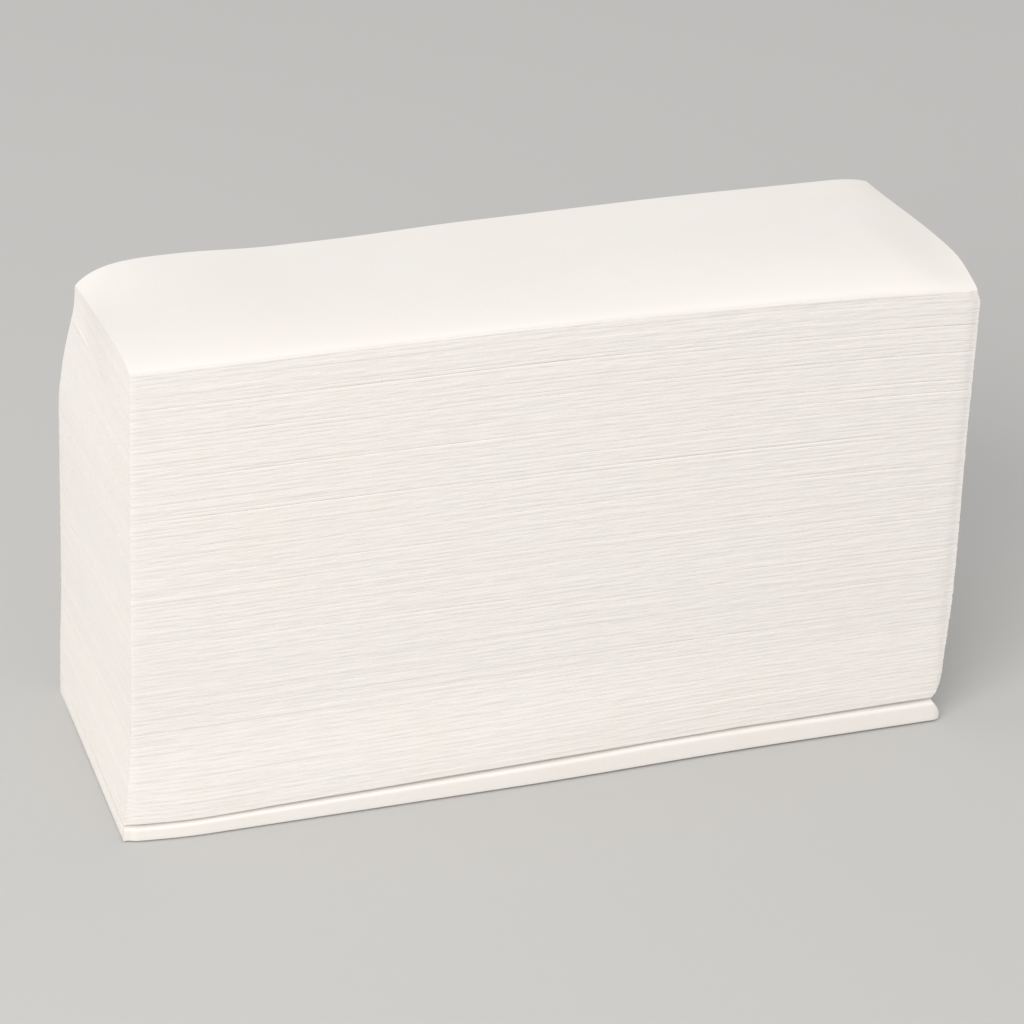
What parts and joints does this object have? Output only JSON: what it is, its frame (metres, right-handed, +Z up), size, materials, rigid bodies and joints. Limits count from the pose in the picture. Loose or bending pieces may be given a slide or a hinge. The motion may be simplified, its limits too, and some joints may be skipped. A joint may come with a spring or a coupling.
{
  "type": "stack of z-fold paper towels",
  "caption": "Squared stack of interleaved z-fold paper hand towels, folds at front and back; the bottom towel is turned up round the lowest few at the front and tucked in.",
  "frame": {"origin": "middle of the stack's underside, on the surface it stands on", "axes": "+X along the folds, to the right as seen from the front; +Y from the front row of folds to the back one; +Z up through the stack"},
  "size_m": [0.2306, 0.0785, 0.1363],
  "materials": {
    "towel_paper": "soft matt creped tissue, warm off-white"
  },
  "bodies": {
    "root": {"top_towel": "towel_paper", "towels_002_003": "towel_paper", "towels_004_005": "towel_paper", "towels_006_007": "towel_paper", "towels_008_009": "towel_paper", "towels_010_011": "towel_paper", "towels_012_013": "towel_paper", "towels_014_015": "towel_paper", "towels_016_017": "towel_paper", "towels_018_019": "towel_paper", "towels_020_021": "towel_paper", "towels_022_023": "towel_paper", "towels_024_025": "towel_paper", "towels_026_027": "towel_paper", "towels_028_029": "towel_paper", "towels_030_031": "towel_paper", "towels_032_033": "towel_paper", "towels_034_035": "towel_paper", "towels_036_037": "towel_paper", "towels_038_039": "towel_paper", "towels_040_041": "towel_paper", "towels_042_043": "towel_paper", "towels_044_045": "towel_paper", "towels_046_047": "towel_paper", "towels_048_049": "towel_paper", "towels_050_051": "towel_paper", "towels_052_053": "towel_paper", "towels_054_055": "towel_paper", "towels_056_057": "towel_paper", "towels_058_059": "towel_paper", "towels_060_061": "towel_paper", "towels_062_063": "towel_paper", "towels_064_065": "towel_paper", "towels_066_067": "towel_paper", "towels_068_069": "towel_paper", "towels_070_071": "towel_paper", "towels_072_073": "towel_paper", "towels_074_075": "towel_paper", "towels_076_077": "towel_paper", "towels_078_079": "towel_paper", "towels_080_081": "towel_paper", "towels_082_083": "towel_paper", "towels_084_085": "towel_paper", "towels_086_087": "towel_paper", "towels_088_089": "towel_paper", "towels_090_091": "towel_paper", "towels_092_093": "towel_paper", "towels_094_095": "towel_paper", "towels_096_097": "towel_paper", "towels_098_099": "towel_paper", "towels_100_101": "towel_paper", "towels_102_103": "towel_paper", "towels_104_105": "towel_paper", "towels_106_107": "towel_paper", "towels_108_109": "towel_paper", "towels_110_111": "towel_paper", "towels_112_113": "towel_paper", "bottom_towel": "towel_paper"}
  },
  "joints": []
}
